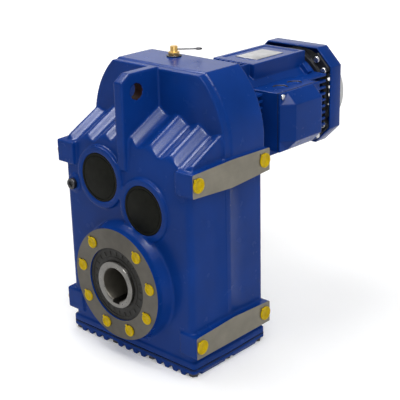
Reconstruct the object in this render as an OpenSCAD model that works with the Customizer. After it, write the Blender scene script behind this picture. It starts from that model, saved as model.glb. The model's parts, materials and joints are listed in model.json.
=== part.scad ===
// Parallel-shaft helical geared motor with a keyed hollow output shaft and a face flange.
// The origin is on the output shaft's axis, in the plane of the flange's machined face.
// +Z is up, the flange faces -Y and the motor lies towards +Y.

/* [Output shaft] */
// Diameter of the hollow shaft's bore
bore_d = 50; // [40:1:54]
// Outside diameter of the hollow shaft
hollow_shaft_d = 70; // [66:1:74]
// Width of the keyway in the bore
keyway_w = 14; // [10:1:16]
// Depth of the keyway, measured from the bore's wall
keyway_depth = 3.8; // [3:0.1:5]
// How far each end of the hollow shaft stands out of the housing
shaft_proud = 2; // [1:0.5:6]
// Outside diameter of the output bearings and seals
output_bearing_d = 110; // [104:1:116]
// Width of an output bearing
output_bearing_w = 20; // [16:1:22]

/* [Flange] */
// Diameter of the flange's machined face
flange_d = 168; // [160:1:176]
// Pitch circle of the flange's holes
flange_pcd = 140; // [134:1:146]
// Diameter of a flange hole
flange_hole_d = 10; // [8:1:12]
// Depth of a flange hole
flange_hole_depth = 20; // [14:1:24]
// Distance from the flange's face back to the side pads
flange_standoff = 22; // [18:1:28]

/* [Housing] */
// Room between the low gear and the side walls
side_gap = 2.6; // [2:0.1:8]
// How far the machined side pads stand out of the body
pad_proud = 8; // [4:1:12]
// Height of a side pad
pad_h = 33; // [28:1:38]
// Height of the upper pads' lower edge above the output axis
upper_pad_z = 154; // [148:1:160]
// Depth of the lower pads' lower edge under the output axis
lower_pad_drop = 84; // [76:1:90]
// Diameter of a right pad hole
right_hole_d = 12; // [8:1:12]
// Diameter of a left pad hole
left_hole_d = 10; // [8:1:12]
// Distance from a pad's end to its hole
pad_hole_inset = 11; // [10:1:16]
// Thickness of the housing's walls
wall = 12; // [9:1:13]
// Room between the output gear and the bottom opening
sump_gap = 6.3; // [4:0.1:12]
// Radius of the body's upright corners at the front
corner_r = 9; // [4:1:12]
// How far the base rim stands out of the body
rim_proud = 2.5; // [1:0.5:4]
// How much the casting narrows from its parting plane to each end
draft = 2; // [0.5:0.5:3]

/* [Dome] */
// Radius of the arched dome
dome_r = 131; // [128:1:134]
// Height of the dome's flat top above the motor's axis
dome_flat = 99; // [90:1:106]
// Length of the dome, front to back
dome_len = 83; // [70:1:92]
// Height of the shoulder's crest where it meets the dome, above the motor's axis
shoulder_rise = 45.5; // [40:0.5:54]
// Slope of the shoulder, front to back, in degrees
shoulder_slope = 27.5; // [22:0.5:32]
// Fall of the shoulder towards the sides, in degrees
shoulder_fall = 11; // [8:0.2:14]
// Radius of the shoulder's front edge
shoulder_round = 14; // [8:1:18]
// How far the front wall leans back under the shoulder
front_lean = 5; // [3:0.5:6]
// Distance between the shoulder's waves
wave_pitch = 39; // [34:1:42]
// Height of a wave
wave_h = 7; // [4:0.5:9]
// Thickness of the torque-arm rib
rib_t = 16; // [12:1:22]
// Diameter of the hole in the torque-arm rib
rib_hole_d = 22; // [16:1:26]

/* [Gears] */
// Height of the motor's axis above the output axis
motor_z = 202; // [200:0.5:206]
// Direction of the low shaft, seen from the front, in degrees above the level
low_shaft_angle = 70.8; // [69:0.1:72]
// Helix angle of the teeth
helix = 15; // [10:1:18]
// Normal module of the first stage
module_1 = 1.75; // [1.7:0.01:1.8]
// Normal module of the second stage
module_2 = 2.25; // [2.2:0.01:2.3]
// Normal module of the third stage
module_3 = 3; // [2.95:0.01:3.05]
// Face width of the first stage's gear
face_1 = 22; // [18:1:26]
// Face width of the second stage's gear
face_2 = 26; // [22:1:30]
// Face width of the third stage's gear
face_3 = 38; // [34:1:44]
// Diameter of a closing cap and of the shaft bearing behind it
cap_d = 72; // [68:1:76]
// Width of a shaft bearing
shaft_bearing_w = 19; // [16:1:21]
// Bore of a shaft bearing
shaft_bearing_bore = 30; // [26:1:32]

/* [Motor] */
// Outside diameter of the motor's frame without its fins
frame_d = 132; // [126:1:138]
// Length of the motor's frame
frame_len = 185; // [172:1:200]
// Height of the fins and of the nameplate panel over the frame's round
fin_h = 10; // [6:1:11]
// How far the fan cowl's flats stand out beyond the frame's round
cowl_proud = 12; // [10:1:18]
// Length of the fan cowl's octagonal ring
cowl_len = 27; // [24:1:34]
// Depth of the domed grille behind the cowl
grille_depth = 34; // [26:1:40]
// Distance from the cowl's flats in to the domed grille
grille_inset = 3; // [2:0.5:8]

/* [Terminal box] */
// Length of the terminal box, along the motor
box_len = 97; // [88:1:104]
// Height of the terminal box
box_h = 89; // [80:1:94]
// Distance from the frame's round to the lid's outer face
box_depth = 56; // [50:1:62]
// Depth of the lid's bevels
lid_bevel = 17; // [12:1:20]
// Diameter of a cable entry
entry_d = 22; // [16:1:22]

/* [Bottom cover] */
// Thickness of the cover's plate
cover_t = 5.5; // [4:0.5:8]
// Height of the cover's ribs
cover_rib_h = 6; // [6:0.5:10]
// Number of the cover's ribs
cover_ribs = 16; // [10:2:18]

/* [Fits] */
// Radial gap between pieces that are pressed or bolted together
seat_gap = 0.02; // [0.01:0.01:0.05]
// Gap between pieces that turn or slide past each other
run_gap = 0.3; // [0.2:0.05:0.4]

/* [Hidden] */
$fn = 64;
eps = 0.01;
far = 600;

// Teeth of each stage, pinion then gear
teeth_1 = [21, 59];
teeth_2 = [19, 60];
teeth_3 = [18, 61];

// Reach along Y of the housing's parts
pad_step = 3;
boss_step = 5;
pad_front_y = flange_standoff;
front_y = pad_front_y + pad_step;
boss_y = front_y - boss_step;
inner_front_y = front_y + wall;
cap_recess = 1;
cap_len = 7;
front_bearing_y = boss_y + cap_recess + cap_len + 1;
gear_gap = 3;
stage_2_y = front_bearing_y + shaft_bearing_w + gear_gap + face_2 / 2;
stage_3_y = stage_2_y + face_2 / 2 + 2 * gear_gap + face_3 / 2;
stage_1_y = stage_3_y + face_3 / 2 + gear_gap + 1 + face_1 / 2;
rear_bearing_y = stage_1_y + face_1 / 2 + gear_gap;
blind_wall = 7;
rear_y = rear_bearing_y + shaft_bearing_w + blind_wall;
inner_rear_y = rear_y - wall;
pad_rear_y = rear_y + 2 * pad_step;
rear_boss_len = 20;
rear_boss_y = rear_y + rear_boss_len;
dome_y = rear_y - dome_len;
parting_y = (front_y + rear_y) / 2;

// Sizes of the gears
tan_t = tan(20) / cos(helix);
pressure = atan(tan_t);
tooth_slack = 0.3;
function centre_distance(m, z) = m / cos(helix) * (z[0] + z[1]) / 2;
function pitch_r(m, z) = m / cos(helix) * z / 2;
function tip_r(m, z) = pitch_r(m, z) + 0.97 * m;
function root_r(m, z) = pitch_r(m, z) - 1.25 * m;

// Shaft axes as [x, z], seen from the front
output_at = [0, 0];
motor_at = [0, motor_z];
low_at = centre_distance(module_3, teeth_3) * [cos(low_shaft_angle), sin(low_shaft_angle)];
high_at = corner_of(low_at, motor_at, centre_distance(module_2, teeth_2), centre_distance(module_1, teeth_1));

// Point at distance ra from a and rb from b, on the left of the way from a to b
function corner_of(a, b, ra, rb) =
    let (d = norm(b - a), u = (b - a) / d)
    let (along = (ra * ra - rb * rb + d * d) / (2 * d))
    a + along * u + sqrt(ra * ra - along * along) * [-u[1], u[0]];

// Turn of each gear at rest, so that the teeth mesh
function heading(a, b) = atan2(b[1] - a[1], b[0] - a[0]);
function mesh_turn(turn, z, a, mate_z, b) =
    let (to_mate = heading(a, b))
    to_mate + 180 + ((to_mate - turn) * z / 360 - 0.5) * 360 / mate_z;
output_turn = 0;
low_pinion_turn = mesh_turn(output_turn, teeth_3[1], output_at, teeth_3[0], low_at);
low_gear_turn = 0;
high_pinion_turn = mesh_turn(low_gear_turn, teeth_2[1], low_at, teeth_2[0], high_at);
high_gear_turn = 0;
input_pinion_turn = mesh_turn(high_gear_turn, teeth_1[1], high_at, teeth_1[0], motor_at);

// Heights
bottom_z = -(tip_r(module_3, teeth_3[1]) + sump_gap);
rim_h = 20;
gasket_t = 2;
cover_z = bottom_z - gasket_t;
cover_bottom_z = cover_z - cover_t;
top_z = motor_z + dome_flat;
lower_pad_z = -lower_pad_drop;
body_top_z = upper_pad_z + pad_h + 1;

// Widths: the side walls clear the low gear
body_half = round(low_at[0] + tip_r(module_2, teeth_2[1]) + side_gap + wall);
body_w = 2 * body_half;
pad_span = body_w + 2 * pad_proud;

// Inside of the housing
inner_w = body_w - 2 * wall;
rim_opening_w = inner_w - 46;
rim_opening_y = [inner_front_y + 14, inner_rear_y - 14];
boss_wall = 8;
cap_boss_r = cap_d / 2 + 10;
pad_wrap = 33;
pad_hole_depth = (pad_span - inner_w) / 2 - 2;
pad_hole_ys = [pad_front_y + pad_hole_inset, pad_rear_y - pad_hole_inset];
pad_hole_zs = [lower_pad_z + pad_h / 2, upper_pad_z + pad_h / 2];

// Output shaft's stack, counted from each end of the housing
seal_recess = 2.5;
seal_w = 10;
circlip_t = 2.5;
circlip_proud = 4.5;
circlip_room = circlip_t + 1;
output_bearing_in = seal_recess + seal_w + circlip_room;
output_front_y = output_bearing_in;
output_rear_y = rear_boss_y - output_bearing_in - output_bearing_w;
shoulder_step = 4;
shoulder_t = 5;
output_boss_r = output_bearing_d / 2 + 11;

// Flange holes: a 40 degree pitch with the uppermost one left out
flange_hole_angles = [for (i = [1:8]) 90 + i * 40];

// Points along an arc
function arc(c, r, a0, a1, n) = [for (i = [0:n])
    let (a = a0 + (a1 - a0) * i / n)
    c + r * [cos(a), sin(a)]];

// Plan of the body, widest at the parting plane; grown by some width for the base rim
rear_corner_r = 3;
function grown_plan(grow, front_r) =
    let (lo = [draft - body_half - grow, front_y - grow], hi = [body_half - draft + grow, rear_y + grow])
    concat(
        arc(hi - rear_corner_r * [1, 1], rear_corner_r, 0, 90, 4),
        arc([lo[0], hi[1]] + rear_corner_r * [1, -1], rear_corner_r, 90, 180, 4),
        [[-body_half - grow, parting_y]],
        arc(lo + front_r * [1, 1], front_r, 180, 270, 6),
        arc([hi[0], lo[1]] + front_r * [-1, 1], front_r, 270, 360, 6),
        [[body_half + grow, parting_y]]);
body_plan = grown_plan(0, corner_r);
rim_plan = grown_plan(rim_proud, corner_r - 3);
base_rim_h = 10;

// Shoulder's waves
wave_start = 6.5;
wave_step = wave_pitch / 12;
wave_count = ceil((body_half - wave_start) / wave_step);
roof_z = motor_z + shoulder_rise;
roof_t = 12;
lean_h = 60;
dome_ring = 13;
dome_step = 2;

// Torque-arm rib and its hole
rib_chamfer = [16, 10.5];
rib_foot_z = 166;
rib_hole_y = pad_front_y + 28.3;
rib_hole_z = top_z - 26.6;

// Plugs of the oil filling
level_at = [-(body_w / 2 - 22), 125];
drain_at = [-80, bottom_z + 30];
plug_d = 12;
plug_head_d = 16;
plug_head_t = 6;
plug_boss_d = 26;
plug_boss_t = 3;

// Breather on the top
breather_at = [-22, rear_y - 19];
breather_d = 10;
breather_depth = 12;
washer_t = 2;
breather_hex_d = 17;
breather_hex_h = 5;
breather_head_d = 11;
breather_head_h = 8;
pin_d = 2.2;
pin_angle = 42;
pin_len = 37;
pin_tail = 4.5;
pin_z = top_z + washer_t + breather_hex_h + breather_head_h * 0.4;

// Motor's places along Y
motor_plate_t = 14;
motor_plate_r = 80;
spigot_r = 29;
spigot_len = 8;
neck_r = 48;
neck_len = 16;
adapter_t = 8;
motor_plate_y = rear_y + motor_plate_t;
neck_y = motor_plate_y + neck_len;
frame_y = neck_y + adapter_t;
frame_end_y = frame_y + frame_len;
shield_t = 12;
shield_y = frame_end_y + shield_t;
cowl_lap = 4;
cowl_y = shield_y - cowl_lap;
cowl_end_y = cowl_y + cowl_len;
motor_bolt_r = 65;
stator_r = 0.424 * frame_d;
stator_bore = 0.545 * frame_d;
core_len = 0.6 * frame_len;
core_y = frame_y + 0.15 * frame_len;
winding_len = 16;
motor_bearing_d = 52;
motor_bearing_bore = 25;
motor_bearing_w = 15;
motor_rear_bearing_y = shield_y - motor_bearing_w - 1;
pinion_seat_d = 20;
fan_seat_d = 22;
fan_len = cowl_len - 12;
fan_y = cowl_y + 7;
cowl_t = 3;
cowl_w = frame_d + 2 * cowl_proud;
cowl_flat = cowl_w * 0.64;
air_gap = 3;
shield_d = cowl_w - 2 * cowl_t - 2 * air_gap;
grille_d = cowl_w - 2 * grille_inset;
panel_h = frame_d / 2 + fin_h;
panel_w = 82;
panel_len = 0.681 * frame_len;
panel_end_y = frame_end_y - 11;
panel_y = panel_end_y - panel_len;
panel_edge = 7;
panel_sink = 1.5;
plate_size = [42.5, 65, 0.8];
plate_y = panel_y + 31;
fin_t = 4;
fin_pitch = 10;
fin_sink = 2;
lug_len = 12;

// Terminal box
box_t = 4;
box_y = frame_y + 29;
box_reach = frame_d / 2 + box_depth;
box_z = motor_z - box_h / 2;
lid_edge = 3.5;
lid_seat_x = box_reach - lid_bevel - lid_edge;
box_gasket_t = 1.5;
box_face_x = lid_seat_x - box_gasket_t;
box_floor_x = frame_d / 2 + box_t;
lid_rim_x = lid_seat_x + lid_edge;
lid_corner = 17.5;
lid_screw_inset = 5.5;
lid_screw_d = 4;
lid_screw_head_d = 8;
box_post_d = 13;
entry_x = (frame_d / 2 + box_face_x) / 2 - 6.5;
entry_ys = [box_y + 0.385 * box_len, box_y + 0.735 * box_len];
entry_seat = 3;
entry_hole_d = entry_d - 6;

// Bottom cover's bolts
cover_bolt_d = 8;
cover_bolt_head = 13;
cover_bolt_head_h = 5.5;
cover_bolt_len = 14;
cover_bolt_edge = 9;
cover_bolt_inset = cover_bolt_edge - rim_proud;
cover_edge_bolt_x = body_half - draft - cover_bolt_inset;
cover_rib_edge = 5.5;
cover_rib_pitch = (body_w - 2 * cover_rib_edge) / (cover_ribs - 1);
cover_bolt_xs = [0.325 * cover_edge_bolt_x, cover_edge_bolt_x];
cover_bolt_ys = [front_y + cover_bolt_inset, parting_y, rear_y - cover_bolt_inset];
cover_bolts_at = concat(
    [for (side = [-1, 1], x = cover_bolt_xs, y = [cover_bolt_ys[0], cover_bolt_ys[2]]) [side * x, y]],
    [for (side = [-1, 1]) [side * cover_bolt_xs[1], cover_bolt_ys[1]]]);

// Round bar along Y at an axis given as [x, z]
module bar(d, y0, y1, at = [0, 0]) {
    translate([at[0], y1, at[1]])
        rotate([90, 0, 0])
            cylinder(d = d, h = y1 - y0);
}

// Tapered round bar along Y, d0 across at y0 and d1 across at y1
module taper(d0, d1, y0, y1, at = [0, 0]) {
    translate([at[0], y1, at[1]])
        rotate([90, 0, 0])
            cylinder(d1 = d1, d2 = d0, h = y1 - y0);
}

// Tube along Y
module tube(d_out, d_in, y0, y1, at = [0, 0]) {
    difference() {
        bar(d_out, y0, y1, at);
        bar(d_in, y0 - 1, y1 + 1, at);
    }
}

// Outline drawn in X and Z, drawn out along Y
module along_y(y0, y1) {
    translate([0, y1, 0])
        rotate([90, 0, 0])
            linear_extrude(y1 - y0)
                children();
}

// Outline drawn in Y and Z, drawn out along X
module along_x(x0, x1) {
    translate([x0, 0, 0])
        rotate([90, 0, 90])
            linear_extrude(x1 - x0)
                children();
}

// Box between two corners
module block(lo, hi) {
    translate(lo)
        cube(hi - lo);
}

// Shape and its mirror image about the middle plane
module both_sides() {
    children();
    mirror([1, 0, 0])
        children();
}

// Half the angle that a tooth fills at radius r
function involute(a) = tan(a) * 180 / PI - a;
function half_tooth(m, z, r) =
    let (rp = pitch_r(m, z), base = rp * cos(pressure))
    let (at_r = r > base ? acos(base / r) : 0)
    90 / z - tooth_slack / (4 * rp) * 180 / PI + involute(pressure) - involute(at_r);

// Outline of a gear with a tooth on the X axis
function polar(r, a) = r * [cos(a), sin(a)];
function flank_radii(m, z) =
    let (base = pitch_r(m, z) * cos(pressure))
    concat([root_r(m, z)], base > root_r(m, z) ? [base] : [], [pitch_r(m, z), tip_r(m, z)]);
function gear_outline(m, z) =
    let (radii = flank_radii(m, z), last = len(radii) - 1)
    [for (tooth = [0:z - 1], i = [0:2 * last + 1])
        let (rising = i <= last, r = radii[rising ? i : 2 * last + 1 - i])
        polar(r, 360 * tooth / z + (rising ? -1 : 1) * half_tooth(m, z, r))];

// Helical gear centred on the plane y; hand is 1 or -1
module helical(m, z, face, y, at, turn, hand, slices) {
    twist = hand * face * tan(helix) / pitch_r(m, z) * 180 / PI;
    translate([at[0], y, at[1]])
        rotate([90, 0, 0])
            rotate([0, 0, turn + twist / 2])
                linear_extrude(face, center = true, twist = twist, slices = slices)
                    polygon(gear_outline(m, z));
}

// Gear wheel with a hub, a thin web and a keyed bore
module wheel(m, z, face, y, at, turn, hand, bore, hub_d, hub_y, key) {
    rim_d = 2 * root_r(m, z) - 16;
    web_cut = face * 0.28;
    difference() {
        union() {
            difference() {
                helical(m, z, face, y, at, turn, hand, 1);
                tube(rim_d, hub_d, y - face / 2 - 1, y - face / 2 + web_cut, at);
                tube(rim_d, hub_d, y + face / 2 - web_cut, y + face / 2 + 1, at);
            }
            bar(hub_d, hub_y[0], hub_y[1], at);
        }
        bar(bore + 2 * seat_gap, hub_y[0] - 1, hub_y[1] + 1, at);
        key_block(key[0] + 2 * seat_gap, bore / 2 - key[1], bore / 2 + key[1] + seat_gap,
            hub_y[0] - 1, hub_y[1] + 1, at);
    }
}

// Bar of a key above a shaft, between two heights over the shaft's axis
module key_block(w, low, high, y0, y1, at) {
    block([at[0] - w / 2, y0, at[1] + low], [at[0] + w / 2, y1, at[1] + high]);
}

// Ball bearing's sizes
function ball_d(d_out, d_in) = 0.3 * (d_out - d_in);
function ball_pitch(d_out, d_in) = (d_out + d_in) / 2;

// Outer ring with its ball groove
module outer_ring(d_out, d_in, w, y, at) {
    ball = ball_d(d_out, d_in);
    pitch = ball_pitch(d_out, d_in);
    difference() {
        bar(d_out, y, y + w, at);
        bar(pitch + 0.75 * ball, y - 1, y + w + 1, at);
        translate([at[0], y + w / 2, at[1]])
            rotate([90, 0, 0])
                rotate_extrude()
                    translate([pitch / 2, 0])
                        circle(d = ball + 2 * run_gap);
    }
}

// Inner ring with the balls and their cage
module inner_ring(d_out, d_in, w, y, at) {
    ball = ball_d(d_out, d_in);
    pitch = ball_pitch(d_out, d_in);
    balls = floor(PI * pitch / (1.5 * ball));
    tube(pitch - 0.75 * ball, d_in + 2 * seat_gap, y, y + w, at);
    tube(pitch + 0.3 * ball, pitch - 0.9 * ball, y + 0.35 * w, y + 0.65 * w, at);
    for (i = [0:balls - 1])
        translate([at[0], y + w / 2, at[1]])
            rotate([0, 360 * i / balls, 0])
                translate([pitch / 2, 0, 0])
                    sphere(d = ball);
}

// Pair of bearings on one shaft
module outer_rings(d_out, d_in, w, ys, at) {
    for (y = ys)
        outer_ring(d_out, d_in, w, y, at);
}
module inner_rings(d_out, d_in, w, ys, at) {
    for (y = ys)
        inner_ring(d_out, d_in, w, y, at);
}

// Octagon with flats on its four sides, and a given length of flat
module octagon(w, flat) {
    h = w / 2;
    f = flat / 2 + (w - cowl_w) * 0.207;
    polygon([[h, -f], [h, f], [f, h], [-f, h], [-h, f], [-h, -f], [-f, -h], [f, -h]]);
}

// Shoulder of the housing, under a line given as [distance from the middle, depth] points
function fall(x) = tan(shoulder_fall) * cos(shoulder_slope) * x;
function wave(x) = wave_h / 2 * (1 - cos(360 * (x - wave_start) / wave_pitch));
wave_line = [for (k = [0:wave_count])
    let (x = min(wave_start + k * wave_step, body_half))
    [x, fall(x) + wave(x)]];
module shoulder(line, half_w, y0, y1) {
    deep = 150;
    left = [for (i = [len(line) - 1:-1:0]) [-line[i][0], line[i][1]]];
    intersection() {
        block([-half_w, y0, upper_pad_z], [half_w, y1, top_z]);
        translate([0, dome_y, roof_z])
            rotate([shoulder_slope - 90, 0, 0])
                linear_extrude(far, center = true)
                    polygon(concat(left, line, [[half_w + 1, line[len(line) - 1][1]],
                        [half_w + 1, deep], [-half_w - 1, deep], [-half_w - 1, line[len(line) - 1][1]]]));
    }
}

// Cut that leans the front wall back and rounds the shoulder's front edge off, on the right half
module shoulder_front_cut() {
    wall_y = front_y + front_lean;
    edge_z = roof_z - (dome_y - wall_y) * tan(shoulder_slope);
    reach = shoulder_round * tan(45 - shoulder_slope / 2);
    rounding = arc([wall_y + shoulder_round, -reach], shoulder_round, 180, 90 + shoulder_slope, 4);
    translate([0, 0, edge_z])
        rotate([0, shoulder_fall, 0])
            along_x(-rib_t / 4, body_w)
                polygon(concat([[front_y - 1, -lean_h], [front_y, -lean_h]], rounding,
                    [[rounding[4][0], lean_h], [front_y - 1, lean_h]]));
}

// Machined pad with a proud corner block, on the right side.
// Its edges spread at the parting plane, the one towards the body's middle more.
module side_pad(z, spread_below, spread_above) {
    along_x(pad_span / 2 - pad_wrap, pad_span / 2)
        polygon([[pad_front_y, z], [parting_y, z - spread_below], [pad_rear_y, z],
            [pad_rear_y, z + pad_h], [parting_y, z + pad_h + spread_above], [pad_front_y, z + pad_h]]);
}

// Arched dome of radius r about the motor's axis, cut flat at the top
module dome(r, y0, y1) {
    intersection() {
        bar(2 * r, y0, y1, motor_at);
        block([-r - 1, y0 - 1, upper_pad_z + pad_h / 2], [r + 1, y1 + 1, top_z + r - dome_r]);
    }
}

module housing_outside() {
    difference() {
        union() {
            translate([0, 0, bottom_z])
                linear_extrude(body_top_z - bottom_z)
                    polygon(body_plan);
            shoulder(wave_line, body_half - draft, front_y, dome_y + 1);
        }
        both_sides()
            shoulder_front_cut();
    }
    translate([0, 0, bottom_z])
        linear_extrude(base_rim_h)
            polygon(rim_plan);
    both_sides() {
        side_pad(lower_pad_z, 0, 2 * draft);
        side_pad(upper_pad_z, 2.5 * draft, draft);
    }
    bar(flange_d, 0, front_y + 1, output_at);
    taper(flange_d, flange_d + 12, front_y * 0.35, front_y + 1, output_at);
    for (at = [high_at, low_at])
        bar(2 * cap_boss_r, boss_y, inner_front_y - 1, at);
    bar(2 * output_boss_r, rear_y - 1, rear_boss_y, output_at);
    bar(plug_boss_d, front_y - plug_boss_t, front_y + 1, level_at);
    bar(plug_boss_d, rear_y - 1, rear_y + plug_boss_t, drain_at);
    dome(dome_r - dome_step, dome_y, dome_y + dome_ring + 1);
    dome(dome_r, dome_y + dome_ring, rear_y);
    along_x(-rib_t / 2, rib_t / 2)
        polygon([[pad_front_y, rib_foot_z], [pad_front_y, top_z - rib_chamfer[1]],
            [pad_front_y + rib_chamfer[0], top_z], [dome_y + 1, top_z], [dome_y + 1, rib_foot_z]]);
}

module housing_hollow() {
    block([-inner_w / 2, inner_front_y, bottom_z + rim_h], [inner_w / 2, inner_rear_y, upper_pad_z + 6]);
    block([-rim_opening_w / 2, rim_opening_y[0], bottom_z - 1],
        [rim_opening_w / 2, rim_opening_y[1], bottom_z + rim_h + 1]);
    shoulder([[wave_start, fall(0) + roof_t + wave_h], [inner_w / 2, fall(inner_w / 2) + roof_t + wave_h]],
        inner_w / 2, inner_front_y, dome_y + wall + 1);
    intersection() {
        bar(2 * (dome_r - wall), dome_y + wall, inner_rear_y, motor_at);
        block([-dome_r, dome_y, upper_pad_z], [dome_r, rear_y, top_z - wall]);
    }
}

// Bosses inside the housing that carry the bearings
module bearing_bosses() {
    for (at = [high_at, low_at]) {
        bar(cap_d + 2 * boss_wall, inner_front_y - 1, front_bearing_y + shaft_bearing_w + 1, at);
        bar(cap_d + 2 * boss_wall, rear_bearing_y, inner_rear_y + 1, at);
    }
    bar(2 * output_boss_r, inner_front_y - 1, output_front_y + output_bearing_w + shoulder_t, output_at);
    bar(2 * output_boss_r, output_rear_y - shoulder_t, inner_rear_y + 1, output_at);
}

// Blind hole in a side pad; side is 1 on the right and -1 on the left
module pad_hole(side, y, z, d) {
    translate([side * pad_span / 2, y, z])
        rotate([0, -side * 90, 0])
            translate([0, 0, -1])
                cylinder(d = d, h = pad_hole_depth + 1);
}

module housing_bores() {
    // Output bearings, seals and the shoulders behind them
    bar(output_bearing_d, -1, output_front_y + output_bearing_w, output_at);
    bar(output_bearing_d, output_rear_y, rear_boss_y + 1, output_at);
    bar(output_bearing_d - 2 * shoulder_step, 0, rear_boss_y, output_at);
    // Shaft bearings: open at the front under the caps, blind at the rear
    for (at = [high_at, low_at]) {
        bar(cap_d, boss_y - 1, front_bearing_y + shaft_bearing_w + 2, at);
        bar(cap_d, rear_bearing_y - 1, rear_bearing_y + shaft_bearing_w, at);
    }
    // Motor's spigot and bolts
    bar(2 * (spigot_r + seat_gap), inner_rear_y - 1, rear_y + 1, motor_at);
    for (i = [0:3])
        bar(cover_bolt_d, rear_y - wall + 2, rear_y + 1,
            motor_at + motor_bolt_r * [cos(90 * i), sin(90 * i)]);
    // Flange and pad holes
    for (a = flange_hole_angles)
        bar(flange_hole_d, -1, flange_hole_depth, flange_pcd / 2 * [cos(a), sin(a)]);
    for (y = pad_hole_ys, z = pad_hole_zs) {
        pad_hole(1, y, z, right_hole_d);
        pad_hole(-1, y, z, left_hole_d);
    }
    // Torque-arm hole
    translate([-rib_t, rib_hole_y, rib_hole_z])
        rotate([0, 90, 0])
            cylinder(d = rib_hole_d, h = 2 * rib_t);
    // Oil plugs and breather
    bar(plug_d, front_y - plug_boss_t - 1, inner_front_y - 1, level_at);
    bar(plug_d, inner_rear_y + 1, rear_y + plug_boss_t + 1, drain_at);
    translate([breather_at[0], breather_at[1], top_z - breather_depth])
        cylinder(d = breather_d, h = breather_depth + 1);
    // Cover bolts
    for (p = cover_bolts_at)
        translate([p[0], p[1], bottom_z - 1])
            cylinder(d = cover_bolt_d, h = cover_bolt_len + 2);
}

module gear_housing() {
    color("royalblue")
        difference() {
            union() {
                difference() {
                    housing_outside();
                    housing_hollow();
                }
                bearing_bosses();
            }
            housing_bores();
        }
}

// Plan of the cover and its gasket
module cover_plan() {
    polygon(rim_plan);
}

module bottom_cover() {
    rib_w = 7;
    rib_foot = 12;
    head_room = cover_bolt_head / 2 + 2.5;
    color("royalblue")
        difference() {
            union() {
                translate([0, 0, cover_bottom_z])
                    linear_extrude(cover_t)
                        cover_plan();
                intersection() {
                    translate([0, 0, cover_bottom_z - cover_rib_h - 1])
                        linear_extrude(cover_rib_h + 2)
                            cover_plan();
                    for (k = [0:cover_ribs - 1])
                        along_y(front_y - rim_proud - 1, rear_y + rim_proud + 1)
                            translate([(k - (cover_ribs - 1) / 2) * cover_rib_pitch, cover_bottom_z])
                                polygon([[-rib_foot / 2, eps], [-rib_w / 2, -cover_rib_h],
                                    [rib_w / 2, -cover_rib_h], [rib_foot / 2, eps]]);
                }
            }
            for (p = cover_bolts_at) {
                translate([p[0], p[1], cover_bottom_z - 1])
                    cylinder(d = cover_bolt_d + 1, h = cover_t + 2);
                translate([p[0], p[1], cover_bottom_z - cover_rib_h - 1])
                    cylinder(r = head_room, h = cover_rib_h + 1);
                edge_notch(p, head_room);
            }
        }
}

// Opening from a bolt's pocket to the cover's nearest edge
module edge_notch(p, half_w) {
    turn = abs(p[0]) > cover_bolt_xs[0]
        ? 90 - sign(p[0]) * 90
        : sign(p[1] - parting_y) * 90;
    translate([p[0], p[1], cover_bottom_z - cover_rib_h - 1])
        rotate([0, 0, turn])
            translate([0, -half_w, 0])
                cube([3 * half_w, 2 * half_w, cover_rib_h + 1]);
}

module bottom_cover_gasket() {
    color("dimgray")
        difference() {
            translate([0, 0, cover_z])
                linear_extrude(gasket_t)
                    cover_plan();
            block([-rim_opening_w / 2, rim_opening_y[0], cover_z - 1],
                [rim_opening_w / 2, rim_opening_y[1], bottom_z + 1]);
            for (p = cover_bolts_at)
                translate([p[0], p[1], cover_z - 1])
                    cylinder(d = cover_bolt_d + 1, h = gasket_t + 2);
        }
}

module bottom_cover_bolts() {
    color("dimgray")
        for (p = cover_bolts_at)
            translate([p[0], p[1], cover_bottom_z]) {
                cylinder(d = cover_bolt_d - 2 * seat_gap, h = cover_t + gasket_t + cover_bolt_len);
                translate([0, 0, -cover_bolt_head_h])
                    cylinder(d = cover_bolt_head / cos(30), h = cover_bolt_head_h, $fn = 6);
            }
}

// Dished cap pressed into a shaft's bore
module closing_cap(at) {
    cap_skin = 2.5;
    y0 = boss_y + cap_recess;
    color([0.1, 0.1, 0.1])
        difference() {
            bar(cap_d - 2 * seat_gap, y0, y0 + cap_len, at);
            bar(cap_d - 4 * cap_skin, y0 + cap_skin, y0 + cap_len + 1, at);
            tube(cap_d - 2 * cap_skin - 1, cap_d - 4 * cap_skin, y0 - 1, y0 + cap_skin / 3, at);
        }
}

module closing_cap_upper() {
    closing_cap(high_at);
}

module closing_cap_lower() {
    closing_cap(low_at);
}

// Screw plug with a hexagon socket; its head lies on -Y of the plane y
module socket_plug(len) {
    socket_d = 9;
    difference() {
        union() {
            bar(plug_head_d, -plug_head_t, 0);
            bar(plug_d - 2 * seat_gap, -1, len);
        }
        translate([0, -plug_head_t / 3, 0])
            rotate([90, 0, 0])
                cylinder(d = socket_d, h = plug_head_t, $fn = 6);
    }
}

module oil_level_plug() {
    color([0.12, 0.12, 0.12])
        translate([level_at[0], front_y - plug_boss_t, level_at[1]])
            socket_plug(wall);
}

module oil_drain_plug() {
    color([0.12, 0.12, 0.12])
        translate([drain_at[0], rear_y + plug_boss_t, drain_at[1]])
            rotate([0, 0, 180])
                socket_plug(wall);
}

module breather_valve() {
    base_z = top_z + washer_t;
    head_z = base_z + breather_hex_h;
    color("goldenrod")
        difference() {
            translate([breather_at[0], breather_at[1], 0]) {
                translate([0, 0, top_z - breather_depth + 2])
                    cylinder(d = breather_d - 2 * seat_gap, h = breather_depth + washer_t);
                translate([0, 0, base_z])
                    cylinder(d = breather_hex_d, h = breather_hex_h, $fn = 6);
                translate([0, 0, head_z - 1])
                    cylinder(d = breather_head_d, h = breather_head_h + 1);
            }
            translate([breather_at[0], breather_at[1], pin_z])
                rotate([0, 90, pin_angle])
                    cylinder(d = pin_d + 2 * run_gap, h = 2 * breather_head_d, center = true);
        }
}

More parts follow.
